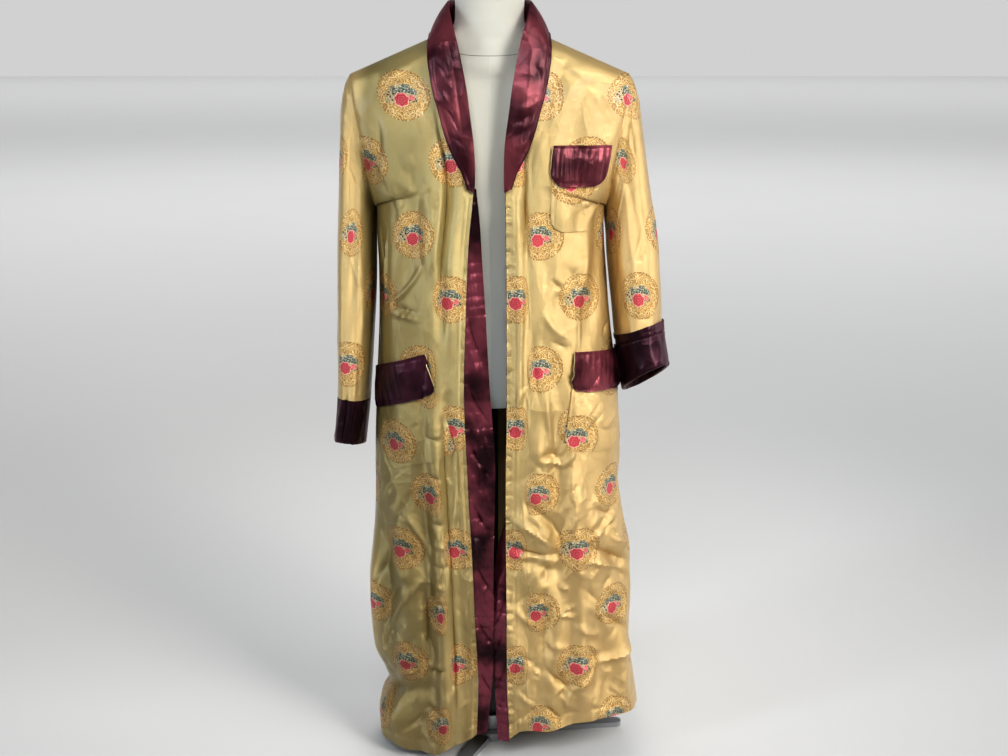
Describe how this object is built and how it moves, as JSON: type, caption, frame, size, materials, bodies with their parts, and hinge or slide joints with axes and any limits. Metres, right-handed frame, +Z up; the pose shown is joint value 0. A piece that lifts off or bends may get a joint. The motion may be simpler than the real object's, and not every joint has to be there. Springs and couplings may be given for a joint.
{
  "type": "silk robe on a dress form",
  "caption": "Long brocade dressing robe with satin shawl collar, cuffs and gathered pocket tops, worn open on a limbless dress form on a pole stand.",
  "frame": {"origin": "on the floor, at the middle of the base hub's underside, under the axis of the pole", "axes": "+Z up, the robe's front faces -Y, +X to the wearer's left"},
  "size_m": [0.6246, 0.4637, 1.462],
  "materials": {
    "brocade": "gold satin brocade with woven flower roundels",
    "satin": "maroon satin",
    "cover": "matt ivory cover cloth",
    "dark_steel": "black paint",
    "steel": "grey steel"
  },
  "bodies": {
    "root": {"front_right": "brocade", "front_left": "brocade", "back": "brocade", "sleeve_right": "brocade", "sleeve_left": "brocade", "pocket_chest": "brocade", "pocket_left": "brocade", "pocket_right": "brocade", "cuff_right": "satin", "cuff_left": "satin", "band_right": "satin", "band_left": "satin", "collar": "satin", "pocket_top_chest": "satin", "pocket_top_left": "satin", "pocket_top_right": "satin", "form": "cover", "form_flange": "dark_steel", "pole": "dark_steel", "base_hub": "steel", "base_foot_1": "steel", "base_foot_2": "steel", "base_foot_3": "steel"}
  },
  "joints": []
}
